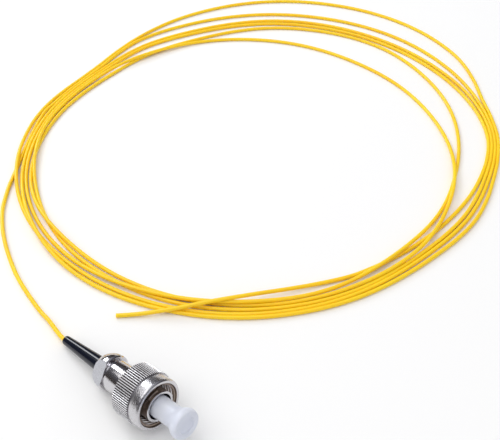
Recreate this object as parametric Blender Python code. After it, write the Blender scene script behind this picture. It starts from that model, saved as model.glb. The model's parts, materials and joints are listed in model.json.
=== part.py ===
"""Fibre optic pigtail: a round screw-nut connector under its dust cap, on a loose coil of buffered fibre.

The connector is built along its own axis, +X towards the nose, with x = 0 at the coupling nut's rear face.
It is then tipped nose-up about the nut's rear edge, which touches the ground at z = 0.
The fibre leaves the boot, lies on the ground, runs through the coil and ends in a bare cut end.
"""

import math

import bmesh
import bpy
from mathutils import Matrix, Vector

MM = 0.001

# Clearances
SEAT_GAP = 0.3 * MM
FIT_GAP = 0.06 * MM
CUT_MARGIN = 1.0 * MM

# Coupling nut
NUT_LENGTH = 6.8 * MM
NUT_WALL = 1.2 * MM
KNURL_RADIUS = 5.2 * MM
KNURL_LENGTH = 4.3 * MM
KNURL_DEPTH = 0.16 * MM
KNURL_RIDGES = 76
KNURL_CHAMFER = 0.25 * MM
BAND_RADIUS = 4.95 * MM
BAND_GROOVE_WIDTH = 0.2 * MM
BAND_GROOVE_DEPTH = 0.2 * MM
RIM_RADIUS = 4.6 * MM
RIM_CHAMFER_LENGTH = 0.5 * MM
MOUTH_RADIUS = 4.3 * MM
MOUTH_CHAMFER_LENGTH = 0.45 * MM
THREAD_MAJOR_RADIUS = 4.02 * MM
THREAD_MINOR_RADIUS = 3.65 * MM
THREAD_PITCH = 0.75 * MM
THREAD_TURNS = 5

# Rear body: crimp stub, domed flange, neck, barrel and nose
BARREL_RADIUS = 3.1 * MM
NECK_RADIUS = 2.5 * MM
NECK_LENGTH = 0.85 * MM
FLANGE_RADIUS = 3.6 * MM
FLANGE_FRONT_RADIUS = 3.35 * MM
FLANGE_FRONT_CHAMFER = 0.25 * MM
FLANGE_DOME_MM = ((0.0, 2.8), (0.4, 3.15), (1.0, 3.4), (1.7, 3.6))
FLANGE_LENGTH = 2.8 * MM
FLANGE_TO_NUT = 5.7 * MM
FLAT_DISTANCE = 2.7 * MM
FLAT_TURN = math.radians(50.0)
STUB_RADIUS = 0.9 * MM
STUB_LENGTH = 4.2 * MM
NOSE_WALL = 0.35 * MM
NOSE_LENGTH = 1.4 * MM
SPRING_ROOM = 4.4 * MM

# Plug frame with its key
FRAME_RADIUS = 2.95 * MM
FRAME_WALL = 0.48 * MM
FRAME_PROUD = 0.4 * MM
FRAME_EDGE = 0.15 * MM
COLLAR_RADIUS = 3.45 * MM
COLLAR_LENGTH = 0.8 * MM
SHOULDER_LENGTH = 0.6 * MM
KEY_WIDTH = 2.1 * MM
KEY_HEIGHT = 0.42 * MM
KEY_LENGTH = 2.6 * MM
KEY_SETBACK = 0.5 * MM
KEY_TURN = math.radians(8.0)

# Ferrule and its holder
FERRULE_RADIUS = 1.249 * MM
FERRULE_PROUD = 3.3 * MM
FERRULE_TIP_RADIUS = 0.85 * MM
FERRULE_TIP_LENGTH = 0.35 * MM
HOLDER_RADIUS = 1.85 * MM
HOLDER_LENGTH = 1.7 * MM
HOLDER_STEM_WALL = 0.3 * MM
HOLDER_STEM_LENGTH = 3.2 * MM

# Dust cap
CAP_RADIUS = 2.05 * MM
CAP_RIM_RADIUS = 2.85 * MM
CAP_FLARE_LENGTH = 2.6 * MM
CAP_RIM_LENGTH = 0.85 * MM
CAP_FACE_RADIUS = 2.5 * MM
CAP_DISH_RADIUS = 1.7 * MM
CAP_DISH_DEPTH = 0.25 * MM
CAP_BEYOND_FERRULE = 3.6 * MM
CAP_TRAVEL_ROOM = 1.6 * MM

# Boot
BOOT_LENGTH = 12.0 * MM
BOOT_BASE_RADIUS = 1.52 * MM
BOOT_TIP_RADIUS = 0.93 * MM
BOOT_TIP_ROUND = 0.3 * MM
BOOT_HOLE_RADIUS = 0.5 * MM
BOOT_HOLE_DEPTH = 2.0 * MM

# Buffered fibre
FIBRE_DIAMETER = 0.9 * MM
GROUND_CLEARANCE = 0.01 * MM
LEAD_ROUTE_MM = (
    (-24.2, 0.95, 0.75),
    (-27.6, 1.35, 0.47),
    (-33.6, 2.5, 0.46),
    (-39.25, 3.95, 0.46),
    (-44.7, 5.95, 0.46),
    (-49.9, 8.3, 0.46),
    (-54.7, 11.0, 0.46),
    (-59.2, 14.25, 0.46),
    (-63.0, 18.0, 0.46),
    (-65.0, 20.4, 0.46),
)
TAIL_ROUTE_MM = (
    (-10.45, 15.95, 0.46),
    (-13.2, 13.15, 0.46),
    (-15.75, 10.55, 0.46),
)
ROUTE_STEP = 2.4 * FIBRE_DIAMETER

# Coil of turns: gathered on the near side, fanned out on the far side
COIL_CENTRE = Vector((-33.55 * MM, 69.1 * MM, 0.0))
COIL_INNER_RADIUS = 49.2 * MM
COIL_OUTER_RADIUS = 57.2 * MM
COIL_FAN_WIDTH = 22.8 * MM
COIL_FAN_HEADING = math.radians(103.0)
COIL_FAN_SHARPNESS = 7
COIL_HEIGHT = 1.9 * MM
COIL_EDGE = 0.4 * MM
COIL_STEPS = 84

# Facets
ROUND_STEPS = 48
SMALL_STEPS = 32


def clear_scene():
    for old in list(bpy.data.objects):
        bpy.data.objects.remove(old, do_unlink=True)


def make_material(name, colour, roughness, metallic=0.0):
    material = bpy.data.materials.new(name)
    material.use_nodes = True
    shader = material.node_tree.nodes["Principled BSDF"]
    shader.inputs["Base Color"].default_value = (*colour, 1.0)
    shader.inputs["Roughness"].default_value = roughness
    shader.inputs["Metallic"].default_value = metallic
    return material


def spin_profile(profile, steps, closed):
    """Turn an (x, radius) outline about the X axis into one closed mesh."""
    shape = bmesh.new()
    points = [shape.verts.new((x, 0.0, radius)) for x, radius in profile]
    edges = [shape.edges.new(pair) for pair in zip(points, points[1:])]
    if closed:
        edges.append(shape.edges.new((points[-1], points[0])))
    bmesh.ops.spin(
        shape,
        geom=points + edges,
        axis=(1.0, 0.0, 0.0),
        cent=(0.0, 0.0, 0.0),
        angle=2.0 * math.pi,
        steps=steps,
        use_merge=True,
    )
    bmesh.ops.remove_doubles(shape, verts=shape.verts, dist=0.001 * MM)
    bmesh.ops.recalc_face_normals(shape, faces=shape.faces)
    return shape


def mesh_object(name, shape, material, parent=None):
    mesh = bpy.data.meshes.new(name)
    shape.to_mesh(mesh)
    shape.free()
    mesh.shade_smooth()
    mesh.set_sharp_from_angle(angle=math.radians(28.0))
    piece = bpy.data.objects.new(name, mesh)
    bpy.context.scene.collection.objects.link(piece)
    if material is not None:
        mesh.materials.append(material)
    piece.parent = parent
    return piece


def turned_piece(name, profile, steps, material, parent, closed=False):
    return mesh_object(name, spin_profile(profile, steps, closed), material, parent)


def add_boolean(piece, cutter, operation):
    """Cut or join with a hidden helper object, which the model itself leaves out."""
    cutter.hide_render = True
    cutter.display_type = "WIRE"
    modifier = piece.modifiers.new(cutter.name, "BOOLEAN")
    modifier.operation = operation
    modifier.object = cutter
    modifier.solver = "EXACT"


def box_shape(low, high, turn):
    """A box between two corners, turned about the X axis."""
    shape = bmesh.new()
    bmesh.ops.create_cube(shape, size=1.0)
    size = Vector(high) - Vector(low)
    middle = (Vector(high) + Vector(low)) / 2.0
    bmesh.ops.scale(shape, vec=size, verts=shape.verts)
    bmesh.ops.translate(shape, vec=middle, verts=shape.verts)
    turned = Matrix.Rotation(turn, 4, "X")
    bmesh.ops.transform(shape, matrix=turned, verts=shape.verts)
    return shape


# Places along the connector's axis, worked out from the sizes above
FLANGE_FRONT = -FLANGE_TO_NUT
FLANGE_REAR = FLANGE_FRONT - FLANGE_LENGTH
NECK_FRONT = FLANGE_FRONT + NECK_LENGTH
BARREL_FRONT = NUT_WALL
FRAME_REAR = BARREL_FRONT + SEAT_GAP
FRAME_FRONT = NUT_LENGTH + FRAME_PROUD
FRAME_BORE_RADIUS = FRAME_RADIUS - FRAME_WALL
NOSE_RADIUS = FRAME_BORE_RADIUS - FIT_GAP
NOSE_FRONT = BARREL_FRONT + NOSE_LENGTH
SHOULDER_REAR = NOSE_FRONT + SEAT_GAP
SHOULDER_FRONT = SHOULDER_REAR + SHOULDER_LENGTH
FERRULE_TIP = FRAME_FRONT + FERRULE_PROUD
HOLDER_FRONT = SHOULDER_REAR - FIT_GAP
HOLDER_REAR = HOLDER_FRONT - HOLDER_LENGTH
HOLDER_STEM_REAR = HOLDER_REAR - HOLDER_STEM_LENGTH
BODY_BORE_RADIUS = NOSE_RADIUS - NOSE_WALL
BODY_BORE_REAR = -SPRING_ROOM
CAP_FRONT = FERRULE_TIP + CAP_BEYOND_FERRULE
CAP_REAR = SHOULDER_FRONT + CAP_TRAVEL_ROOM
CAP_BORE_RADIUS = FERRULE_RADIUS + FIT_GAP
BOOT_BASE = FLANGE_REAR - SEAT_GAP
BOOT_TIP = BOOT_BASE - BOOT_LENGTH

# The connector rests on the nut's rear edge, with its tail held up by the boot and the stiff fibre
TILT = math.radians(10.5156)
AXIS_HEIGHT = KNURL_RADIUS * math.cos(TILT) - KNURL_CHAMFER * math.sin(TILT)


def nut_outline():
    groove_radius = BAND_RADIUS - BAND_GROOVE_DEPTH
    band_rear = KNURL_LENGTH + BAND_GROOVE_WIDTH
    return [
        (0.0, 0.0),
        (0.0, KNURL_RADIUS - KNURL_CHAMFER),
        (KNURL_CHAMFER, KNURL_RADIUS),
        (KNURL_LENGTH, KNURL_RADIUS),
        (KNURL_LENGTH, groove_radius),
        (band_rear, groove_radius),
        (band_rear, BAND_RADIUS),
        (NUT_LENGTH - RIM_CHAMFER_LENGTH, BAND_RADIUS),
        (NUT_LENGTH, RIM_RADIUS),
        (NUT_LENGTH, 0.0),
    ]


def nut_bore_outline():
    """The barrel's running bore, the threaded socket and its chamfered mouth."""
    running_radius = BARREL_RADIUS + FIT_GAP
    thread_front = NUT_LENGTH - MOUTH_CHAMFER_LENGTH
    thread_rear = thread_front - THREAD_TURNS * THREAD_PITCH
    outline = [
        (-CUT_MARGIN, 0.0),
        (-CUT_MARGIN, running_radius),
        (NUT_WALL, running_radius),
        (NUT_WALL, THREAD_MAJOR_RADIUS),
        (thread_rear, THREAD_MAJOR_RADIUS),
    ]
    for turn in range(THREAD_TURNS):
        crest = thread_rear + (turn + 0.5) * THREAD_PITCH
        root = thread_rear + (turn + 1.0) * THREAD_PITCH
        outline.append((crest, THREAD_MINOR_RADIUS))
        outline.append((root, THREAD_MAJOR_RADIUS))
    outline += [
        (NUT_LENGTH, MOUTH_RADIUS),
        (NUT_LENGTH + CUT_MARGIN, MOUTH_RADIUS),
        (NUT_LENGTH + CUT_MARGIN, 0.0),
    ]
    return outline


def cut_knurl(shape):
    """Draw every second line of the knurled band in, for straight V grooves."""
    steps = 2 * KNURL_RIDGES
    for point in shape.verts:
        radius = math.hypot(point.co.y, point.co.z)
        if abs(radius - KNURL_RADIUS) > 0.01 * MM:
            continue
        place = round(math.atan2(point.co.y, point.co.z) / (2.0 * math.pi) * steps)
        if place % 2:
            scale = (KNURL_RADIUS - KNURL_DEPTH) / KNURL_RADIUS
            point.co.y *= scale
            point.co.z *= scale


def make_coupling_nut(material, parent):
    shape = spin_profile(nut_outline(), 2 * KNURL_RIDGES, closed=False)
    cut_knurl(shape)
    nut = mesh_object("coupling_nut", shape, material, parent)
    bore = turned_piece("nut_bore", nut_bore_outline(), ROUND_STEPS, None, parent)
    add_boolean(nut, bore, "DIFFERENCE")
    return nut


def make_rear_body(material, parent):
    outline = [
        (FLANGE_REAR - STUB_LENGTH, 0.0),
        (FLANGE_REAR - STUB_LENGTH, STUB_RADIUS),
        (FLANGE_REAR, STUB_RADIUS),
        *[(FLANGE_REAR + ahead * MM, radius * MM) for ahead, radius in FLANGE_DOME_MM],
        (FLANGE_FRONT - FLANGE_FRONT_CHAMFER, FLANGE_RADIUS),
        (FLANGE_FRONT, FLANGE_FRONT_RADIUS),
        (FLANGE_FRONT, NECK_RADIUS),
        (NECK_FRONT, NECK_RADIUS),
        (NECK_FRONT, BARREL_RADIUS),
        (BARREL_FRONT, BARREL_RADIUS),
        (BARREL_FRONT, NOSE_RADIUS),
        (NOSE_FRONT, NOSE_RADIUS),
        (NOSE_FRONT, BODY_BORE_RADIUS),
        (BODY_BORE_REAR, BODY_BORE_RADIUS),
        (BODY_BORE_REAR, 0.0),
    ]
    body = turned_piece("rear_body", outline, ROUND_STEPS, material, parent)
    for number, turn in enumerate((FLAT_TURN, FLAT_TURN + math.pi)):
        low = (FLANGE_REAR - CUT_MARGIN, -2.0 * FLANGE_RADIUS, FLAT_DISTANCE)
        high = (FLANGE_FRONT + NECK_LENGTH / 2.0, 2.0 * FLANGE_RADIUS, 2.0 * FLANGE_RADIUS)
        cutter = mesh_object("flat_cut_%d" % number, box_shape(low, high, turn), None, parent)
        add_boolean(body, cutter, "DIFFERENCE")
    return body


def make_plug_frame(material, parent):
    collar_front = FRAME_REAR + COLLAR_LENGTH
    shoulder_radius = FERRULE_RADIUS + SEAT_GAP
    outline = [
        (FRAME_REAR, FRAME_BORE_RADIUS),
        (FRAME_REAR, COLLAR_RADIUS),
        (collar_front, COLLAR_RADIUS),
        (collar_front, FRAME_RADIUS),
        (FRAME_FRONT - FRAME_EDGE, FRAME_RADIUS),
        (FRAME_FRONT, FRAME_RADIUS - FRAME_EDGE),
        (FRAME_FRONT, FRAME_BORE_RADIUS + FRAME_EDGE),
        (FRAME_FRONT - FRAME_EDGE, FRAME_BORE_RADIUS),
        (SHOULDER_FRONT, FRAME_BORE_RADIUS),
        (SHOULDER_FRONT, shoulder_radius),
        (SHOULDER_REAR, shoulder_radius),
        (SHOULDER_REAR, FRAME_BORE_RADIUS),
    ]
    frame = turned_piece("plug_frame", outline, ROUND_STEPS, material, parent, closed=True)
    key_front = FRAME_FRONT - KEY_SETBACK
    low = (key_front - KEY_LENGTH, -KEY_WIDTH / 2.0, FRAME_RADIUS - FRAME_WALL / 2.0)
    high = (key_front, KEY_WIDTH / 2.0, FRAME_RADIUS + KEY_HEIGHT)
    key = mesh_object("frame_key", box_shape(low, high, KEY_TURN), None, parent)
    add_boolean(frame, key, "UNION")
    return frame


def make_ferrule(material, parent):
    outline = [
        (HOLDER_STEM_REAR, 0.0),
        (HOLDER_STEM_REAR, FERRULE_RADIUS),
        (FERRULE_TIP - FERRULE_TIP_LENGTH, FERRULE_RADIUS),
        (FERRULE_TIP, FERRULE_TIP_RADIUS),
        (FERRULE_TIP, 0.0),
    ]
    return turned_piece("ferrule", outline, SMALL_STEPS, material, parent)


def make_ferrule_holder(material, parent):
    bore_radius = FERRULE_RADIUS + FIT_GAP
    stem_radius = bore_radius + HOLDER_STEM_WALL
    outline = [
        (HOLDER_STEM_REAR, bore_radius),
        (HOLDER_STEM_REAR, stem_radius),
        (HOLDER_REAR, stem_radius),
        (HOLDER_REAR, HOLDER_RADIUS),
        (HOLDER_FRONT, HOLDER_RADIUS),
        (HOLDER_FRONT, bore_radius),
    ]
    return turned_piece("ferrule_holder", outline, SMALL_STEPS, material, parent, closed=True)


def dust_cap_outline():
    """A blind sleeve that flares into a rounded rim with a dished front face."""
    rim_middle = CAP_FRONT - CAP_RIM_LENGTH
    flare_rear = rim_middle - CAP_FLARE_LENGTH
    flare_height = CAP_RIM_RADIUS - CAP_RADIUS
    outline = [
        (CAP_REAR, CAP_BORE_RADIUS),
        (CAP_REAR, CAP_RADIUS),
    ]
    flare_points = 6
    for step in range(flare_points + 1):
        share = step / flare_points
        rise = math.sin(share * math.pi / 2.0) ** 2
        outline.append((flare_rear + share * CAP_FLARE_LENGTH, CAP_RADIUS + rise * flare_height))
    round_points = 4
    for step in range(1, round_points + 1):
        turn = step / round_points * math.pi / 2.0
        x = rim_middle + CAP_RIM_LENGTH * math.sin(turn)
        radius = CAP_FACE_RADIUS + (CAP_RIM_RADIUS - CAP_FACE_RADIUS) * math.cos(turn)
        outline.append((x, radius))
    outline += [
        (CAP_FRONT, CAP_DISH_RADIUS),
        (CAP_FRONT - CAP_DISH_DEPTH, CAP_DISH_RADIUS - CAP_DISH_DEPTH),
        (CAP_FRONT - CAP_DISH_DEPTH, 0.0),
    ]
    bore_front = FERRULE_TIP + SEAT_GAP
    outline.insert(0, (bore_front, CAP_BORE_RADIUS))
    outline.insert(0, (bore_front, 0.0))
    return outline


def boot_outline():
    """A tapered sleeve: open at its tip for the fibre and at its base for the crimp stub."""
    stub_bore_radius = STUB_RADIUS + FIT_GAP
    outline = [
        (BOOT_TIP + BOOT_HOLE_DEPTH, 0.0),
        (BOOT_TIP + BOOT_HOLE_DEPTH, BOOT_HOLE_RADIUS),
        (BOOT_TIP, BOOT_HOLE_RADIUS),
    ]
    round_points = 4
    for step in range(round_points + 1):
        turn = step / round_points * math.pi / 2.0
        x = BOOT_TIP + BOOT_TIP_ROUND * (1.0 - math.cos(turn))
        radius = BOOT_TIP_RADIUS - BOOT_TIP_ROUND * (1.0 - math.sin(turn))
        outline.append((x, radius))
    outline += [
        (BOOT_BASE, BOOT_BASE_RADIUS),
        (BOOT_BASE, stub_bore_radius),
        (BOOT_BASE - STUB_LENGTH, stub_bore_radius),
        (BOOT_BASE - STUB_LENGTH, 0.0),
    ]
    return outline


def smooth_route(points, step):
    """Read evenly spaced points from a smooth curve through the given ones."""
    ends = [2.0 * points[0] - points[1], 2.0 * points[-1] - points[-2]]
    knots = [ends[0], *points, ends[1]]
    fine = []
    samples = 24
    for before, start, end, after in zip(knots, knots[1:], knots[2:], knots[3:]):
        for number in range(samples):
            t = number / samples
            fine.append(
                0.5
                * (
                    2.0 * start
                    + (end - before) * t
                    + (2.0 * before - 5.0 * start + 4.0 * end - after) * t * t
                    + (3.0 * start - before - 3.0 * end + after) * t * t * t
                )
            )
    fine.append(points[-1])
    lengths = [0.0]
    for near, far in zip(fine, fine[1:]):
        lengths.append(lengths[-1] + (far - near).length)
    count = max(2, round(lengths[-1] / step))
    route = []
    place = 0
    for number in range(count + 1):
        wanted = lengths[-1] * number / count
        while place < len(fine) - 2 and lengths[place + 1] < wanted:
            place += 1
        share = (wanted - lengths[place]) / (lengths[place + 1] - lengths[place])
        route.append(fine[place].lerp(fine[place + 1], min(1.0, share)))
    return route


def make_fibre_tube(name, route, material):
    curve = bpy.data.curves.new(name, "CURVE")
    curve.dimensions = "3D"
    curve.bevel_depth = FIBRE_DIAMETER / 2.0
    curve.bevel_resolution = 2
    curve.use_fill_caps = True
    spline = curve.splines.new("POLY")
    spline.points.add(len(route) - 1)
    for point, place in zip(spline.points, route):
        point.co = (*place, 1.0)
    curve.materials.append(material)
    tube = bpy.data.objects.new(name, curve)
    bpy.context.scene.collection.objects.link(tube)
    return tube


def coil_outer_radius(heading):
    """Outer radius of the gathered turns, which fan out towards one side."""
    swell = math.cos((heading - COIL_FAN_HEADING) / 2.0) ** 2
    return COIL_OUTER_RADIUS + COIL_FAN_WIDTH * swell ** (COIL_FAN_SHARPNESS / 2.0)


def make_fibre_coil(material):
    """One solid of the coil's outer shape, turned about its upright axis."""
    shape = bmesh.new()
    rings = []
    for step in range(COIL_STEPS):
        heading = 2.0 * math.pi * step / COIL_STEPS
        outer = coil_outer_radius(heading)
        inner = COIL_INNER_RADIUS
        low = GROUND_CLEARANCE
        section = [
            (inner, low + COIL_EDGE),
            (inner + COIL_EDGE, low),
            (outer - COIL_EDGE, low),
            (outer, low + COIL_EDGE),
            (outer, COIL_HEIGHT - COIL_EDGE),
            (outer - COIL_EDGE, COIL_HEIGHT),
            (inner + COIL_EDGE, COIL_HEIGHT),
            (inner, COIL_HEIGHT - COIL_EDGE),
        ]
        ring = []
        for radius, height in section:
            offset = Vector((radius * math.cos(heading), radius * math.sin(heading), height))
            ring.append(shape.verts.new(COIL_CENTRE + offset))
        rings.append(ring)
    for ring, following in zip(rings, rings[1:] + rings[:1]):
        for number in range(len(ring)):
            ahead = (number + 1) % len(ring)
            shape.faces.new((ring[number], ring[ahead], following[ahead], following[number]))
    bmesh.ops.recalc_face_normals(shape, faces=shape.faces)
    return mesh_object("fibre_coil", shape, material)


def connector_offset():
    """Distance along X that centres the tipped connector on the origin."""
    front = max(x * math.cos(TILT) + radius * math.sin(TILT) for x, radius in dust_cap_outline())
    rear = min(x * math.cos(TILT) - radius * math.sin(TILT) for x, radius in boot_outline())
    return -(front + rear) / 2.0


def make_connector(materials):
    frame = bpy.data.objects.new("connector_axis", None)
    bpy.context.scene.collection.objects.link(frame)
    frame.location = (connector_offset(), 0.0, AXIS_HEIGHT)
    frame.rotation_euler = (0.0, -TILT, 0.0)
    nickel = materials["nickel"]
    make_rear_body(nickel, frame)
    make_coupling_nut(nickel, frame)
    make_plug_frame(nickel, frame)
    make_ferrule_holder(nickel, frame)
    make_ferrule(materials["ceramic"], frame)
    turned_piece("dust_cap", dust_cap_outline(), SMALL_STEPS, materials["cap"], frame)
    turned_piece("boot", boot_outline(), SMALL_STEPS, materials["boot"], frame)
    return frame


def make_fibre(materials):
    along = Vector((math.cos(TILT), 0.0, math.sin(TILT)))
    tip = Vector((connector_offset(), 0.0, AXIS_HEIGHT)) + BOOT_TIP * along
    start = tip - SEAT_GAP * along
    lead_points = [start, start - 2.0 * FIBRE_DIAMETER * along]
    lead_points += [Vector(point) * MM for point in LEAD_ROUTE_MM]
    tail_points = [Vector(point) * MM for point in TAIL_ROUTE_MM]
    make_fibre_tube("fibre_lead", smooth_route(lead_points, ROUTE_STEP), materials["fibre"])
    make_fibre_tube("fibre_tail", smooth_route(tail_points, ROUTE_STEP), materials["fibre"])
    make_fibre_coil(materials["fibre"])


def main():
    clear_scene()
    materials = {
        "nickel": make_material("polished_nickel", (0.62, 0.6, 0.58), 0.16, 1.0),
        "ceramic": make_material("white_ceramic", (0.9, 0.9, 0.88), 0.2),
        "cap": make_material("milky_cap_plastic", (0.78, 0.8, 0.9), 0.35),
        "boot": make_material("black_boot_plastic", (0.02, 0.022, 0.03), 0.25),
        "fibre": make_material("yellow_fibre_buffer", (0.95, 0.66, 0.06), 0.4),
    }
    make_connector(materials)
    make_fibre(materials)
    bpy.context.view_layer.update()


main()
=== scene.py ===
"""Looks of a fibre optic pigtail: plated connector, boot, dust cap and loose coil of fibre."""

import json
import math

import bmesh
import bpy
import numpy as np
from bpy.props import FloatProperty, FloatVectorProperty, IntProperty, PointerProperty
from bpy.types import Operator, Panel, PropertyGroup
from mathutils import Matrix, Vector, kdtree


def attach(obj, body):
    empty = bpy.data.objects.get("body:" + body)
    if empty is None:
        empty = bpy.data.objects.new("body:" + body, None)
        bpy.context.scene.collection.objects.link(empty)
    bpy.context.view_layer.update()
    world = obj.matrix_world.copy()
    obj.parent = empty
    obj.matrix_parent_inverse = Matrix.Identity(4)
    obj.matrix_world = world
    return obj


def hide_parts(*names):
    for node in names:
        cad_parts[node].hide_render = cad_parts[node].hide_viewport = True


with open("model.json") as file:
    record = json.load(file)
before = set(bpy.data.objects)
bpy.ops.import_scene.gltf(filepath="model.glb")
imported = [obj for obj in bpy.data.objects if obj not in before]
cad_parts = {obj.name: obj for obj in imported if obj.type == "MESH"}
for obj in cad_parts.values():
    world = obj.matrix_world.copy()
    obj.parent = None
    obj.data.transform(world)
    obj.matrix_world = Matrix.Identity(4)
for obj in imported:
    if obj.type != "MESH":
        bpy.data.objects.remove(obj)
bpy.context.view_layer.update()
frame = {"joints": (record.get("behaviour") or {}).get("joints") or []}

bl_info = {
    "name": "Fibre pigtail builder",
    "version": (1, 0, 0),
    "blender": (4, 5, 0),
    "location": "3D View > Sidebar > Pigtail",
    "description": "Builds a screw-nut fibre connector with its boot, dust cap and coiled fibre",
    "category": "Object",
}

MM = 0.001

# Share of the groove's depth at each step round one rib: rounded top, sloping walls, narrow groove
RIB_SAMPLES = (0.0, 0.06, 0.4, 0.9, 1.0, 0.9, 0.4, 0.06)

# The connector's own axis, from the joint that the coupling nut turns on
NUT_JOINT = next(joint for joint in frame["joints"] if joint["name"] == "nut_spin")
AXIS_START = Vector(NUT_JOINT["pos_m"])
AXIS_DIRECTION = Vector(NUT_JOINT["axis"]).normalized()
CONNECTOR_TURN = AXIS_DIRECTION.to_track_quat("X", "Z").to_matrix().to_4x4()
CONNECTOR_PLACE = Matrix.Translation(AXIS_START) @ CONNECTOR_TURN

# Places along the connector's axis, from the coupling nut's rear face
STUB_REAR = -12.7 * MM
FLANGE_REAR = -8.5 * MM
FLANGE_FRONT = -5.7 * MM
NECK_FRONT = -4.85 * MM
SPRING_ROOM_REAR = -4.4 * MM
BARREL_FRONT = 1.2 * MM
NOSE_FRONT = 2.6 * MM
FRAME_REAR = 1.5 * MM
SHOULDER_REAR = 2.9 * MM
SHOULDER_FRONT = 3.5 * MM
FRAME_FRONT = 7.2 * MM
FERRULE_TIP = 10.5 * MM
HOLDER_FRONT = 2.84 * MM
HOLDER_REAR = 1.14 * MM
HOLDER_STEM_REAR = -2.06 * MM
CAP_REAR = 5.1 * MM
CAP_FRONT = 14.1 * MM
BOOT_BASE = -8.8 * MM
BOOT_TIP = -20.8 * MM

# Sizes that are used more than once
FERRULE_RADIUS = 1.249 * MM
FIT_GAP = 0.06 * MM
MOUTH_DEPTH = 0.45 * MM

# Domed rear of the flange: distance ahead of its rear face and radius
FLANGE_DOME_MM = ((0.0, 2.8), (0.4, 3.15), (1.0, 3.4), (1.7, 3.6))

# Places of the finishes in a piece's list of materials, after its main one; the groove, bore and shaded
# finishes are painted shade, the crest and rib finishes painted highlights
GROOVE_SHADE_FINISH = 1
BORE_SHADE_FINISH = 2
CREST_HIGHLIGHT_FINISH = 3
RIB_HIGHLIGHT_FINISH = 4
MILLED_FINISH = SHADED_FINISH = GLASS_FINISH = 1

# Fibre on the ground, from the boot to the coil and from the coil to the cut end
LAID_HEIGHT = 0.46 * MM
LEAD_ROUTE_MM = (
    (-24.2, 0.95, 0.75),
    (-27.6, 1.35, 0.47),
    (-33.6, 2.5, 0.46),
    (-39.25, 3.95, 0.46),
    (-44.7, 5.95, 0.46),
    (-49.9, 8.3, 0.46),
    (-54.7, 11.0, 0.46),
    (-59.2, 14.25, 0.46),
    (-63.0, 18.0, 0.46),
    (-66.6, 22.2, 0.46),
)
TAIL_ROUTE_MM = (
    (4.7, 37.0, 0.46),
    (-0.2, 29.3, 0.46),
    (-5.95, 21.3, 0.46),
    (-9.35, 17.2, 0.46),
    (-13.2, 13.15, 0.46),
    (-15.75, 10.55, 0.46),
)
COIL_CENTRE = Vector((-33.55 * MM, 69.1 * MM, 0.0))
COIL_STATIONS = (240, 210, 180, 165, 150, 120, 90, 75, 60, 45, 30, 15, 0, -30, -60, -90)

# Radius of each turn at the stations above, in the order in which the fibre runs through them
COIL_TURNS_MM = (
    (None, 55.2, 55.5, 60.4, 63.3, 68.6, 70.2, 68.9, 66.8, 64.4, 60.7, 58.1, 55.6, 54.9, 55.1, 55.4),
    (56.3, 56.1, 56.5, 61.6, 67.9, 77.6, 78.4, 74.7, 68.2, 65.2, 61.8, 59.7, 57.0, 55.8, 56.0, 56.5),
    (55.3, 54.3, 54.3, 57.0, 58.9, 64.6, 66.2, 66.1, 65.6, 63.7, 59.7, 57.0, 54.5, 53.9, 53.7, 52.9),
    (52.1, 52.4, 51.7, 51.4, 52.3, 51.9, 50.8, 51.0, 51.3, 51.9, 52.5, 52.9, 53.6, 52.9, 52.3, 51.8),
    (53.1, 51.4, 50.3, 52.0, 53.8, 60.3, 62.3, 60.3, 57.9, 55.1, 52.8, 51.8, 51.1, 51.9, 52.8, 54.2),
    (54.3, 53.3, 53.3, 56.0, 57.6, 62.7, 64.6, 64.6, 64.2, 62.8, 58.8, 54.9, 52.1, 49.3, None, None),
)
COIL_STEP = math.radians(7.5)

# Which turn lies over which, before and after the heading where the last turn comes to the top
LAYERS_BEFORE = (0, 1, 2, 5, 4, 3)
LAYERS_AFTER = (0, 1, 2, 3, 4, 6)
LAYER_CHANGE = math.radians(-28.0)


def colour_property(name, description, default):
    return FloatVectorProperty(
        name=name, description=description, default=default, size=3, min=0.0, max=1.0, subtype="COLOR"
    )


def length_property(name, description, millimetres):
    default = millimetres * MM
    return FloatProperty(
        name=name, description=description, default=default, min=0.0, precision=6, unit="LENGTH"
    )


def share_property(name, description, default):
    return FloatProperty(
        name=name, description=description, default=default, min=0.0, max=1.0, subtype="FACTOR"
    )


def angle_property(name, description, degrees):
    default = math.radians(degrees)
    return FloatProperty(name=name, description=description, default=default, subtype="ANGLE")


class FibreSettings(PropertyGroup):
    diameter: length_property("Diameter", "Outer diameter of the fibre", 0.9)
    length: length_property("Length", "Length from the boot to the cut end", 2100.0)
    point_spacing: length_property("Point spacing", "Distance between its points", 0.6)
    colour: colour_property("Buffer", "Colour of the fibre's buffer", (1.0, 0.68, 0.012))
    deep_colour: colour_property("Deep buffer", "Colour where it is thickest", (0.98, 0.6, 0.006))


class MetalSettings(PropertyGroup):
    colour: colour_property("Plating", "Colour of the nickel plating", (0.64, 0.63, 0.65))
    dull_colour: colour_property("Dull plating", "Colour of the milled flats", (0.74, 0.75, 0.8))
    # Painted highlight on the rib tops and painted shade between the ribs
    rib_highlight_colour: colour_property("Ribs", "Colour of the ribs' rubbed tops", (0.84, 0.84, 0.87))
    groove_shade_colour: colour_property("Grooves", "Colour between the ribs", (0.06, 0.048, 0.045))
    # Painted shade in the threaded mouth and on the plug frame inside the nut, and a painted highlight
    # on the thread's crests
    bore_shade_colour: colour_property("Bore", "Colour inside the threaded mouth", (0.24, 0.19, 0.16))
    crest_highlight_colour: colour_property("Crests", "Colour of the thread's crests", (0.74, 0.72, 0.74))
    roughness: share_property("Roughness", "Roughness of the polished plating", 0.13)
    nut_roughness: share_property("Nut roughness", "Roughness of the nut's plating", 0.24)
    dull_roughness: share_property("Dull roughness", "Roughness of the milled flats", 0.5)


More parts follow.
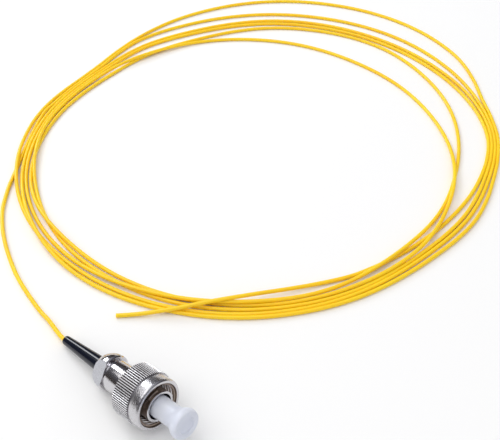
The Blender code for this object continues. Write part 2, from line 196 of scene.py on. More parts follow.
class NutSettings(PropertyGroup):
    ribs: IntProperty(name="Ribs", description="Ribs round the grip", default=76, min=12, max=160)
    rib_depth: length_property("Rib depth", "Depth of the grooves between the ribs", 0.2)
    length: length_property("Length", "Length of the nut", 6.8)
    grip_radius: length_property("Grip radius", "Radius over the ribs", 5.2)
    grip_length: length_property("Grip length", "Length of the ribbed grip", 4.3)
    band_radius: length_property("Band radius", "Radius of the plain front band", 4.95)
    rim_radius: length_property("Rim radius", "Radius at the front face", 4.6)
    mouth_radius: length_property("Mouth radius", "Radius of the threaded mouth", 4.3)
    thread_depth: length_property("Thread depth", "Depth of the internal thread", 0.37)
    thread_radius: length_property("Thread radius", "Major radius of the internal thread", 4.02)
    thread_pitch: length_property("Thread pitch", "Pitch of the internal thread", 0.75)
    thread_length: length_property("Thread length", "Length of the internal thread", 3.75)
    wall: length_property("Rear wall", "Thickness of the rear wall", 1.2)
    bore_radius: length_property("Bore radius", "Radius of the bore on the barrel", 3.16)


class BodySettings(PropertyGroup):
    barrel_radius: length_property("Barrel radius", "Radius of the barrel", 3.1)
    neck_radius: length_property("Neck radius", "Radius of the neck before the flange", 2.5)
    flange_radius: length_property("Flange radius", "Radius of the rear flange", 3.6)
    flange_front_radius: length_property("Flange front radius", "Radius of its front face", 3.35)
    flat_distance: length_property("Flat distance", "Wrench flat's distance from the axis", 2.7)
    stub_radius: length_property("Stub radius", "Radius inside the boot", 0.9)
    nose_radius: length_property("Nose radius", "Radius inside the plug frame", 2.41)
    bore_radius: length_property("Bore radius", "Radius of the room for the spring", 2.06)
    flat_turn: angle_property("Flat turn", "How far the near flat is turned from the top", 50.0)


class PlugSettings(PropertyGroup):
    frame_radius: length_property("Frame radius", "Outer radius of the plug frame", 2.95)
    frame_bore: length_property("Frame bore", "Inner radius of the plug frame", 2.47)
    collar_radius: length_property("Collar radius", "Radius of the frame's rear collar", 3.45)
    collar_length: length_property("Collar length", "Length of the frame's rear collar", 0.8)
    key_width: length_property("Key width", "Width of the alignment key", 2.1)
    key_height: length_property("Key height", "Height of the alignment key", 0.42)
    key_length: length_property("Key length", "Length of the alignment key", 2.6)
    holder_radius: length_property("Holder radius", "Radius of the ferrule holder", 1.85)
    ceramic_colour: colour_property("Ceramic", "Colour of the ferrule", (0.86, 0.85, 0.82))
    glass_colour: colour_property("Glass", "Colour of the polished fibre end", (0.12, 0.13, 0.16))
    key_turn: angle_property("Key turn", "How far the key is turned from the top", 8.0)


class CapSettings(PropertyGroup):
    radius: length_property("Radius", "Radius of the cap's shaft", 2.05)
    rim_radius: length_property("Rim radius", "Radius of the flared rim", 2.85)
    face_radius: length_property("Face radius", "Radius at the front face", 2.5)
    flare_length: length_property("Flare length", "Length of the concave flare", 2.6)
    rim_length: length_property("Rim length", "Length of the rounded rim", 0.85)
    dish_radius: length_property("Dish radius", "Radius of the dish in the front face", 1.7)
    dish_depth: length_property("Dish depth", "Depth of the dish in the front face", 0.25)
    colour: colour_property("Colour", "Colour of the milky plastic", (0.79, 0.82, 0.95))


class BootSettings(PropertyGroup):
    base_radius: length_property("Base radius", "Radius at the base", 1.52)
    tip_radius: length_property("Tip radius", "Radius at the tip", 0.93)
    tip_round: length_property("Tip round", "Radius of the tip's rounded edge", 0.3)
    hole_radius: length_property("Hole radius", "Radius of the fibre's hole", 0.5)
    colour: colour_property("Colour", "Colour of the moulded boot", (0.005, 0.007, 0.015))


class StageSettings(PropertyGroup):
    focal_length: FloatProperty(
        name="Focal length", description="Camera lens in millimetres", default=56.1, min=1.0
    )
    camera_forward: length_property("Forward", "Camera ahead of the nut", 69.56)
    camera_side: length_property("Side", "Camera beside the connector", 45.72)
    camera_height: length_property("Height", "Camera above the ground", 123.1)
    camera_heading: angle_property("Heading", "Camera's turn from the Y axis", 42.2)
    camera_tilt: angle_property("Tilt", "How far the camera looks down", 43.5)
    floor_size: length_property("Floor size", "Side of the square floor", 4000.0)
    floor_colour: colour_property("Floor", "Colour of the floor", (0.9, 0.9, 0.9))


def new_material(name, colour, roughness, metallic=0.0):
    """A principled material, with its node tree and shader."""
    material = bpy.data.materials.new(name)
    material.use_nodes = True
    tree = material.node_tree
    shader = tree.nodes["Principled BSDF"]
    shader.inputs["Base Color"].default_value = (*colour, 1.0)
    shader.inputs["Roughness"].default_value = roughness
    shader.inputs["Metallic"].default_value = metallic
    return material, tree, shader


def noise(tree, along, across=None, detail=3.0):
    """Noise fixed to the piece, of another fineness across its X axis where that is given."""
    across = along if across is None else across
    place = tree.nodes.new("ShaderNodeTexCoord")
    mapping = tree.nodes.new("ShaderNodeMapping")
    mapping.inputs["Scale"].default_value = (along, across, across)
    tree.links.new(place.outputs["Object"], mapping.inputs["Vector"])
    texture = tree.nodes.new("ShaderNodeTexNoise")
    texture.inputs["Scale"].default_value = 1.0
    texture.inputs["Detail"].default_value = detail
    tree.links.new(mapping.outputs["Vector"], texture.inputs["Vector"])
    return texture.outputs["Fac"]


def tint(tree, shader, texture, low, high):
    """Blend the base colour between two colours by a texture."""
    blend = tree.nodes.new("ShaderNodeValToRGB")
    blend.color_ramp.elements[0].position = 0.3
    blend.color_ramp.elements[0].color = (*low, 1.0)
    blend.color_ramp.elements[1].position = 0.7
    blend.color_ramp.elements[1].color = (*high, 1.0)
    tree.links.new(texture, blend.inputs["Fac"])
    tree.links.new(blend.outputs["Color"], shader.inputs["Base Color"])


def roughen(tree, shader, texture, low, high):
    """Spread the roughness between two limits by a texture."""
    limits = tree.nodes.new("ShaderNodeMapRange")
    limits.inputs["To Min"].default_value = low
    limits.inputs["To Max"].default_value = high
    tree.links.new(texture, limits.inputs["Value"])
    tree.links.new(limits.outputs["Result"], shader.inputs["Roughness"])


def add_bump(tree, shader, texture, distance):
    bump = tree.nodes.new("ShaderNodeBump")
    bump.inputs["Distance"].default_value = distance
    tree.links.new(texture, bump.inputs["Height"])
    tree.links.new(bump.outputs["Normal"], shader.inputs["Normal"])


def soften(shader, weight, radius, scale):
    """Let light travel a short way under the surface."""
    shader.inputs["Subsurface Weight"].default_value = weight
    shader.inputs["Subsurface Radius"].default_value = radius
    shader.inputs["Subsurface Scale"].default_value = scale


def scaled(colour, factor):
    """The colour made darker or lighter, with no channel above one."""
    return tuple(min(1.0, channel * factor) for channel in colour)


def polished_plating(metal, name, roughness, speckle):
    """Bright nickel with a slightly uneven, speckled skin."""
    material, tree, shader = new_material(name, metal.colour, roughness, 1.0)
    clouds = noise(tree, 400.0)
    roughen(tree, shader, clouds, roughness * 0.7, roughness * 1.5)
    tint(tree, shader, clouds, metal.colour, scaled(metal.colour, 0.93))
    add_bump(tree, shader, noise(tree, 4000.0, 2500.0, detail=4.0), speckle)
    return material


def milled_plating(metal):
    """Duller nickel where a flat was milled and then plated over."""
    colour = metal.dull_colour
    material, tree, shader = new_material("milled_plating", colour, metal.dull_roughness, 0.45)
    grain = noise(tree, 5000.0, detail=4.0)
    tint(tree, shader, grain, scaled(colour, 0.7), colour)
    add_bump(tree, shader, grain, 0.01 * MM)
    return material


def rib_painted_highlight(metal):
    """Paler nickel on the ribs: a painted highlight on the rib tops."""
    material, tree, shader = new_material("rib_painted_highlight", metal.rib_highlight_colour, 0.3, 0.5)
    clouds = noise(tree, 900.0)
    tint(tree, shader, clouds, scaled(metal.rib_highlight_colour, 0.85), metal.rib_highlight_colour)
    roughen(tree, shader, clouds, 0.22, 0.38)
    return material


def painted_light_plating(name, colour):
    """Duller plating whose given colour is painted light: painted shade in recesses, a painted
    highlight on the thread's crests.
    """
    material, tree, shader = new_material(name, colour, 0.3, 1.0)
    clouds = noise(tree, 900.0)
    tint(tree, shader, clouds, colour, scaled(colour, 1.25))
    roughen(tree, shader, clouds, 0.22, 0.4)
    return material


def milky_plastic(colour):
    material, tree, shader = new_material("milky_plastic", colour, 0.34)
    soften(shader, 0.6, (1.0, 1.0, 1.0), 1.2 * MM)
    shader.inputs["Transmission Weight"].default_value = 0.25
    shader.inputs["IOR"].default_value = 1.49
    tint(tree, shader, noise(tree, 350.0), colour, scaled(colour, 1.05))
    add_bump(tree, shader, noise(tree, 900.0), 0.004 * MM)
    return material


def glossy_plastic(colour):
    material, tree, shader = new_material("glossy_black_plastic", colour, 0.14)
    shader.inputs["IOR"].default_value = 1.46
    roughen(tree, shader, noise(tree, 120.0, 1200.0), 0.1, 0.18)
    return material


def white_ceramic(colour):
    material, tree, shader = new_material("white_ceramic", colour, 0.15)
    clouds = noise(tree, 600.0)
    tint(tree, shader, clouds, scaled(colour, 0.95), colour)
    roughen(tree, shader, clouds, 0.1, 0.2)
    return material


def polished_glass(colour):
    material, tree, shader = new_material("polished_fibre_end", colour, 0.08)
    roughen(tree, shader, noise(tree, 4000.0), 0.05, 0.12)
    return material


def yellow_buffer(settings):
    """Satin extruded buffer, a little deeper in colour in slow drifts along its length."""
    material, tree, shader = new_material("yellow_buffer", settings.colour, 0.38)
    soften(shader, 0.35, (1.0, 0.6, 0.12), 0.5 * MM)
    tint(tree, shader, noise(tree, 60.0), settings.deep_colour, settings.colour)
    grain = noise(tree, 1500.0)
    roughen(tree, shader, grain, 0.36, 0.4)
    add_bump(tree, shader, grain, 0.0008 * MM)
    return material


def pale_floor(colour):
    material, tree, shader = new_material("pale_floor", colour, 0.7)
    shader.inputs["Specular IOR Level"].default_value = 0.1
    tint(tree, shader, noise(tree, 3.0), scaled(colour, 0.99), colour)
    return material


def eased(outline, closed=False, steps=3):
    """Round the corners of an outline of (x, radius, rounding) into short arcs."""
    corners = [Vector((x, radius)) for x, radius, _ in outline]
    roundings = [rounding for _, _, rounding in outline]
    count = len(corners)
    result = []
    for number in range(count):
        corner = corners[number]
        if roundings[number] == 0.0 or (not closed and number in (0, count - 1)):
            result.append(tuple(corner))
            continue
        back = corners[number - 1] - corner
        ahead = corners[(number + 1) % count] - corner
        start = corner + back.normalized() * min(roundings[number], 0.45 * back.length)
        end = corner + ahead.normalized() * min(roundings[number], 0.45 * ahead.length)
        for step in range(steps + 1):
            share = step / steps
            first = start.lerp(corner, share)
            second = corner.lerp(end, share)
            result.append(tuple(first.lerp(second, share)))
    return result


def turned_shape(outline, steps, closed=False):
    """Turn an (x, radius) outline about the X axis into one closed surface."""
    shape = bmesh.new()
    points = [shape.verts.new((x, 0.0, radius)) for x, radius in outline]
    edges = [shape.edges.new(pair) for pair in zip(points, points[1:])]
    if closed:
        edges.append(shape.edges.new((points[-1], points[0])))
    bmesh.ops.spin(
        shape,
        geom=points + edges,
        axis=(1.0, 0.0, 0.0),
        cent=(0.0, 0.0, 0.0),
        angle=2.0 * math.pi,
        steps=steps,
        use_merge=True,
    )
    bmesh.ops.remove_doubles(shape, verts=shape.verts, dist=0.0001 * MM)
    bmesh.ops.recalc_face_normals(shape, faces=shape.faces)
    return shape


def polar_parts(point):
    """Radius and turn from the top, towards the near side, of a point round the X axis."""
    return math.hypot(point.y, point.z), math.atan2(-point.y, point.z)


def set_radius(point, radius):
    old = math.hypot(point.y, point.z)
    point.y *= radius / old
    point.z *= radius / old


def linked(name, data):
    """A new object, put in the scene's collection."""
    item = bpy.data.objects.new(name, data)
    bpy.context.scene.collection.objects.link(item)
    return item


def finished_piece(name, shape, materials, sharp_degrees):
    """Make a piece in the connector's place from a shape along its axis."""
    mesh = bpy.data.meshes.new(name)
    shape.to_mesh(mesh)
    shape.free()
    mesh.shade_smooth()
    mesh.set_sharp_from_angle(angle=math.radians(sharp_degrees))
    for material in materials:
        mesh.materials.append(material)
    piece = linked(name, mesh)
    piece.matrix_world = CONNECTOR_PLACE
    return piece


def hand_over(piece, body, node):
    """Fix a piece to its body, in the place of the plain solid that it stands for."""
    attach(piece, body)
    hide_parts(node)


def catmull_rom(before, start, end, after, share):
    """A point between start and end on the smooth curve through four points."""
    return 0.5 * (
        2.0 * start
        + (end - before) * share
        + (2.0 * before - 5.0 * start + 4.0 * end - after) * share**2
        + (3.0 * start - before - 3.0 * end + after) * share**3
    )


def even_route(knots, spacing):
    """Evenly spaced points on a smooth curve through the knots, and their places among them."""
    samples = 40
    ends = (2.0 * knots[0] - knots[1], 2.0 * knots[-1] - knots[-2])
    padded = [ends[0], *knots, ends[1]]
    fine = []
    for before, start, end, after in zip(padded, padded[1:], padded[2:], padded[3:]):
        for number in range(samples):
            fine.append(catmull_rom(before, start, end, after, number / samples))
    fine.append(knots[-1])
    fine = np.array(fine)
    steps = np.linalg.norm(np.diff(fine, axis=0), axis=1)
    lengths = np.concatenate(([0.0], np.cumsum(steps)))
    wanted = np.linspace(0.0, lengths[-1], round(lengths[-1] / spacing) + 1)
    places = np.interp(wanted, lengths, np.arange(len(fine)) / samples)
    route = np.stack([np.interp(wanted, lengths, fine[:, axis]) for axis in range(3)], axis=1)
    return route, places


def coil_knots():
    """Evenly turned points of the coil, with the layer that each lies in."""
    headings, radii, turns = [], [], []
    for turn, row in enumerate(COIL_TURNS_MM):
        for station, radius in zip(COIL_STATIONS, row):
            if radius is not None:
                headings.append(math.radians(station - 360.0 * turn))
                radii.append(radius * MM)
                turns.append(turn)
    slopes = np.gradient(radii, headings)
    knots, layers = [], []
    for number in range(len(headings) - 1):
        span = headings[number + 1] - headings[number]
        steps = max(1, round(abs(span) / COIL_STEP))
        for step in range(steps):
            share = step / steps
            start_weight = (1.0 + 2.0 * share) * (1.0 - share) ** 2
            radius = start_weight * radii[number] + (1.0 - start_weight) * radii[number + 1]
            radius += span * slopes[number] * share * (1.0 - share) ** 2
            radius -= span * slopes[number + 1] * share**2 * (1.0 - share)
            heading = headings[number] + share * span
            offset = Vector((math.cos(heading), math.sin(heading), 0.0)) * radius
            knots.append(COIL_CENTRE + offset + Vector((0.0, 0.0, LAID_HEIGHT)))
            turned = heading + 2.0 * math.pi * turns[number]
            table = LAYERS_BEFORE if turned > LAYER_CHANGE else LAYERS_AFTER
            layers.append(table[turns[number]])
    return knots, layers


def fibre_knots():
    """All points that the fibre is led through, and the layer that each lies in."""
    exit_point = AXIS_START + BOOT_TIP * AXIS_DIRECTION
    ahead = 1.5 * MM * AXIS_DIRECTION
    behind = 1.8 * MM * AXIS_DIRECTION
    knots = [exit_point + ahead, exit_point, exit_point - behind]
    knots += [Vector(point) * MM for point in LEAD_ROUTE_MM]
    layers = [LAYERS_BEFORE[0]] * len(knots)
    coil, coil_layers = coil_knots()
    knots += coil
    layers += coil_layers
    knots += [Vector(point) * MM for point in TAIL_ROUTE_MM]
    layers += [LAYERS_AFTER[-1]] * len(TAIL_ROUTE_MM)
    return [np.array(knot) for knot in knots], layers


def close_pairs(route, layers, reach, least_apart=12):
    """Pairs of places on different stretches that are close in plan, the lower one first."""
    tree = kdtree.KDTree(len(route))
    for number, point in enumerate(route):
        tree.insert((point[0], point[1], 0.0), number)
    tree.balance()
    lower, upper = [], []
    for number, point in enumerate(route):
        for _, other, _ in tree.find_range((point[0], point[1], 0.0), reach):
            if layers[other] < layers[number] and abs(other - number) > least_apart:
                lower.append(other)
                upper.append(number)
    return np.array(lower), np.array(upper)


def smoothed(values, width, passes=3):
    """Running means along the fibre, which turn a sudden shift into a long low hump."""
    half = width // 2
    for _ in range(passes):
        before, after = np.repeat(values[:1], half, 0), np.repeat(values[-1:], half, 0)
        padded = np.concatenate((before, values, after))
        sums = np.concatenate((np.zeros((1, 3)), np.cumsum(padded, axis=0)))
        values = (sums[width:] - sums[:-width]) / width
    return values


def settle(route, layers, diameter, freedom, rounds=240, hump=31):
    """Push strands apart where they run together, and lift each over those that it crosses."""
    reach = 1.7 * diameter
    side_distance = 0.35 * diameter
    side_rise = 0.2 * diameter
    aligned_cosine = 0.995
    kept_share = 0.99
    push_gain = 0.9
    lift_gain = 1.2
    tiny = 1e-9
    shift = np.zeros_like(route)
    base = route.copy()
    tangent = np.gradient(base, axis=0)
    tangent /= np.linalg.norm(tangent, axis=1)[:, None]
    for number in range(rounds):
        route = base + smoothed(shift, hump) * freedom[:, None]
        if number % 40 == 0:
            lower, upper = close_pairs(route, layers, reach)
            aligned = np.abs(np.sum(tangent[lower] * tangent[upper], axis=1)) > aligned_cosine
        gap = route[upper] - route[lower]
        aside = np.hypot(gap[:, 0], gap[:, 1])
        beside = aligned & (aside > side_distance)
        above = np.maximum(gap[:, 2], 0.0)
        above = np.where(beside, np.maximum(above, side_rise), above)
        crossing_lift = np.sqrt(np.maximum(diameter**2 - aside**2, 0.0)) - gap[:, 2]
        distance = np.maximum(np.hypot(aside, above), tiny)
        overlap = np.maximum(diameter - distance, 0.0)
        lift = np.where(beside, overlap * above / distance, np.maximum(crossing_lift, 0.0))
        push = np.where(beside, overlap * aside / distance, 0.0) / 2.0
        direction = gap[:, :2] / np.maximum(aside, tiny)[:, None]
        touched = (lift > 0.0) | (push > 0.0)
        counts = np.bincount(upper[touched], minlength=len(route))
        counts += np.bincount(lower[touched], minlength=len(route))
        counts = np.maximum(counts, 1)
        shift *= kept_share
        for axis in (0, 1):
            part = push * direction[:, axis]
            gain = np.bincount(upper, part, len(route)) - np.bincount(lower, part, len(route))
            shift[:, axis] += push_gain * gain / counts
        shift[:, 2] += lift_gain * np.bincount(upper, lift, len(route)) / counts
    route = base + smoothed(shift, hump) * freedom[:, None]
    route[:, 2] = np.maximum(route[:, 2], diameter / 2.0 + 0.01 * MM)
    return route


def freedom_along(route, spacing):
    """How far each place may be shifted: not at all near the ends, fully in the coil."""
    fixed_length = 55.0 * MM
    rise_length = 15.0 * MM
    fall_length = 11.0 * MM
    distance = np.arange(len(route)) * spacing
    rise = np.clip((distance - fixed_length) / rise_length, 0.0, 1.0)
    fall = np.clip((distance[-1] - distance) / fall_length, 0.0, 1.0)
    share = np.minimum(rise, fall)
    return share * share * (3.0 - 2.0 * share)


class PIGTAIL_OT_lay_fibre(Operator):
    """Lay the fibre from the boot through its coil to the bare cut end"""

    bl_idname = "pigtail.lay_fibre"
    bl_label = "Lay fibre"

    def execute(self, context):
        settings = context.scene.pigtail_fibre
        knots, knot_layers = fibre_knots()
        route, places = even_route(knots, settings.point_spacing)
        layers = np.array([knot_layers[round(place)] for place in places])
        freedom = freedom_along(route, settings.point_spacing)
        route = settle(route, layers, settings.diameter, freedom)
        curve = bpy.data.curves.new("buffered_fibre", "CURVE")
        curve.dimensions = "3D"
        curve.bevel_depth = settings.diameter / 2.0
        curve.bevel_resolution = 4
        curve.use_fill_caps = True
        shown = route[::2]
        spline = curve.splines.new("POLY")
        spline.points.add(len(shown) - 1)
        for point, place in zip(spline.points, shown):
            point.co = (*place, 1.0)
        curve.materials.append(yellow_buffer(settings))
        fibre = linked("buffered_fibre", curve)
        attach(fibre, "root")
        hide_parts("fibre_lead", "fibre_coil", "fibre_tail")
        return {"FINISHED"}


class PIGTAIL_OT_turn_nut(Operator):
    """Turn the coupling nut with its ribbed grip, plain band and internal thread"""

    bl_idname = "pigtail.turn_nut"
    bl_label = "Turn coupling nut"

    def outline(self, nut):
        groove_radius = nut.band_radius - 0.2 * MM
        band_rear = nut.grip_length + 0.22 * MM
        thread_front = nut.length - MOUTH_DEPTH
        thread_rear = thread_front - nut.thread_length
        thread_middle = nut.thread_radius - nut.thread_depth / 2.0
        outline = [
            (0.0, nut.bore_radius, 0.1 * MM),
            (0.0, nut.grip_radius - 0.35 * MM, 0.08 * MM),
            (0.3 * MM, nut.grip_radius, 0.1 * MM),
            (nut.grip_length - 0.12 * MM, nut.grip_radius, 0.05 * MM),
            (nut.grip_length, nut.grip_radius - 0.12 * MM, 0.04 * MM),
            (nut.grip_length, groove_radius, 0.05 * MM),
            (band_rear, groove_radius, 0.05 * MM),
            (band_rear, nut.band_radius, 0.09 * MM),
            (nut.length - 0.3 * MM, nut.band_radius, 0.1 * MM),
            (nut.length, nut.rim_radius + 0.1 * MM, 0.07 * MM),
            (nut.length, nut.mouth_radius, 0.05 * MM),
            (nut.length - 0.12 * MM, nut.mouth_radius - 0.1 * MM, 0.03 * MM),
            (thread_front + 0.12 * MM, nut.thread_radius + 0.1 * MM, 0.05 * MM),
            (thread_front + 0.05 * MM, thread_middle, 0.03 * MM),
        ]
        rows_per_pitch = 8
        rows = round(nut.thread_length / nut.thread_pitch * rows_per_pitch)
        for row in range(rows + 1):
            outline.append((thread_front - row * nut.thread_length / rows, thread_middle, 0.0))
        outline += [
            (thread_rear - 0.1 * MM, nut.thread_radius, 0.03 * MM),
            (nut.wall, nut.thread_radius, 0.1 * MM),
            (nut.wall, nut.bore_radius, 0.06 * MM),
        ]
        return eased(outline, closed=True)

    def cut_ribs(self, shape, nut):
        """Straight grooves with sloping walls between slightly rounded ribs, with painted shade on the
        groove faces and a painted highlight on the rib tops.
        """
        count = nut.ribs * len(RIB_SAMPLES)
        front = nut.grip_length + 0.01 * MM
        least_groove_share = 0.3
        tops, grooves = set(), set()
        for vertex in shape.verts:
            radius, turn = polar_parts(vertex.co)
            if vertex.co.x > front or radius < nut.band_radius - 0.1 * MM:
                continue
            sample = RIB_SAMPLES[round(turn / (2.0 * math.pi) * count) % len(RIB_SAMPLES)]
            limit = nut.grip_radius - nut.rib_depth * sample
            (grooves if sample > least_groove_share else tops).add(vertex)
            if radius > limit:
                set_radius(vertex.co, limit)
        # Painted shade on the faces deep in the grooves, a painted highlight on the rib tops
        for face in shape.faces:
            if all(vertex in grooves for vertex in face.verts):
                face.material_index = GROOVE_SHADE_FINISH
            elif all(vertex in tops or vertex in grooves for vertex in face.verts):
                face.material_index = RIB_HIGHLIGHT_FINISH

    def paint_bore_shade_and_crests(self, shape, nut):
        """Painted shade in the mouth, dark and brown, with a painted highlight on the thread's crests.
        """
        front = nut.length - 0.05 * MM
        crest_top = nut.thread_radius - nut.thread_depth
        crest_foot = nut.thread_radius - nut.thread_depth * 0.55
        for face in shape.faces:
            middle = face.calc_center_median()
            radius = polar_parts(middle)[0]
            if middle.x < front and radius < nut.mouth_radius:
                # Painted highlight on the crests, painted shade on the rest of the mouth
                gets_crest_highlight = crest_top < radius < crest_foot
                face.material_index = CREST_HIGHLIGHT_FINISH if gets_crest_highlight else BORE_SHADE_FINISH

    def cut_thread(self, shape, nut):
        """One continuous helical groove inside the mouth, fading out at both ends."""
        front = nut.length - MOUTH_DEPTH
        rear = front - nut.thread_length
        middle = nut.thread_radius - nut.thread_depth / 2.0
        slack = 0.01 * MM
        fade_length = 0.3 * MM
        wall_share = 0.75
        for vertex in shape.verts:
            radius, turn = polar_parts(vertex.co)
            inside = rear - slack <= vertex.co.x <= front + slack
            if not inside or abs(radius - middle) > slack:
                continue
            phase = (vertex.co.x / nut.thread_pitch + turn / (2.0 * math.pi)) % 1.0
            wave = 4.0 * abs(phase - 0.5) - 1.0
            flat = max(-wall_share, min(wall_share, wave)) / wall_share
            room = min(front - vertex.co.x, vertex.co.x - rear)
            fade = max(0.0, min(1.0, room / fade_length))
            set_radius(vertex.co, middle + flat * fade * nut.thread_depth / 2.0)

    def execute(self, context):
        nut = context.scene.pigtail_nut
        steps = nut.ribs * len(RIB_SAMPLES)
        shape = turned_shape(self.outline(nut), steps, closed=True)
        self.cut_ribs(shape, nut)
        self.cut_thread(shape, nut)
        self.paint_bore_shade_and_crests(shape, nut)
        metal = context.scene.pigtail_metal
        finishes = [
            polished_plating(metal, "satin_plating", metal.nut_roughness, 0.05 * MM),
            # Painted shade in the grooves between the ribs
            painted_light_plating("groove_painted_shade", metal.groove_shade_colour),
            # Painted shade in the mouth and a painted highlight on the thread's crests
            painted_light_plating("bore_painted_shade", metal.bore_shade_colour),
            painted_light_plating("crest_painted_highlight", metal.crest_highlight_colour),
            # Painted highlight on the rib tops
            rib_painted_highlight(metal),
        ]
        piece = finished_piece("ribbed_coupling_nut", shape, finishes, sharp_degrees=24.0)
        hand_over(piece, "nut", "coupling_nut")
        return {"FINISHED"}


class PIGTAIL_OT_turn_body(Operator):
    """Turn the rear body with its barrel, neck, domed flange and two milled wrench flats"""

    bl_idname = "pigtail.turn_body"
    bl_label = "Turn rear body"

    def outline(self, body):
        chamfer = 0.25 * MM
        outline = [
            (STUB_REAR, 0.0, 0.0),
            (STUB_REAR, body.stub_radius, 0.1 * MM),
            (FLANGE_REAR, body.stub_radius, 0.1 * MM),
        ]
        for ahead, radius in FLANGE_DOME_MM:
            outline.append((FLANGE_REAR + ahead * MM, radius * MM, 0.3 * MM))
        outline += [
            (FLANGE_FRONT - chamfer, body.flange_radius, 0.06 * MM),
            (FLANGE_FRONT, body.flange_front_radius, 0.06 * MM),
            (FLANGE_FRONT, body.neck_radius, 0.1 * MM),
            (NECK_FRONT, body.neck_radius, 0.1 * MM),
            (NECK_FRONT, body.barrel_radius, 0.12 * MM),
            (BARREL_FRONT, body.barrel_radius, 0.1 * MM),
            (BARREL_FRONT, body.nose_radius, 0.1 * MM),
            (NOSE_FRONT, body.nose_radius, 0.1 * MM),
            (NOSE_FRONT, body.bore_radius, 0.06 * MM),
            (SPRING_ROOM_REAR, body.bore_radius, 0.1 * MM),
            (SPRING_ROOM_REAR, 0.0, 0.0),
        ]
        return eased(outline)

    def mill_flat(self, shape, body, turn):
        """Slice a segment off the flange and close it with one flat face."""
        normal = Vector((0.0, -math.sin(turn), math.cos(turn)))
        front = NECK_FRONT - 0.2 * MM
        geometry = [point for point in shape.verts if point.co.x < front]
        for item in shape.edges[:] + shape.faces[:]:
            if all(point.co.x < front for point in item.verts):
                geometry.append(item)
        cut = bmesh.ops.bisect_plane(
            shape,
            geom=geometry,
            dist=0.00001 * MM,
            plane_co=normal * body.flat_distance,
            plane_no=normal,
            clear_outer=True,
        )
        edges = [item for item in cut["geom_cut"] if isinstance(item, bmesh.types.BMEdge)]
        filled = bmesh.ops.contextual_create(shape, geom=edges)
        for face in filled["faces"]:
            face.material_index = MILLED_FINISH

    def execute(self, context):
        body = context.scene.pigtail_body
        shape = turned_shape(self.outline(body), steps=160)
        for turn in (body.flat_turn, body.flat_turn + math.pi):
            self.mill_flat(shape, body, turn)
        bmesh.ops.recalc_face_normals(shape, faces=shape.faces)
        metal = context.scene.pigtail_metal
        polished = polished_plating(metal, "polished_plating", metal.roughness, 0.02 * MM)
        plating = [polished, milled_plating(metal)]
        piece = finished_piece("turned_rear_body", shape, plating, sharp_degrees=24.0)
        hand_over(piece, "root", "rear_body")
        return {"FINISHED"}


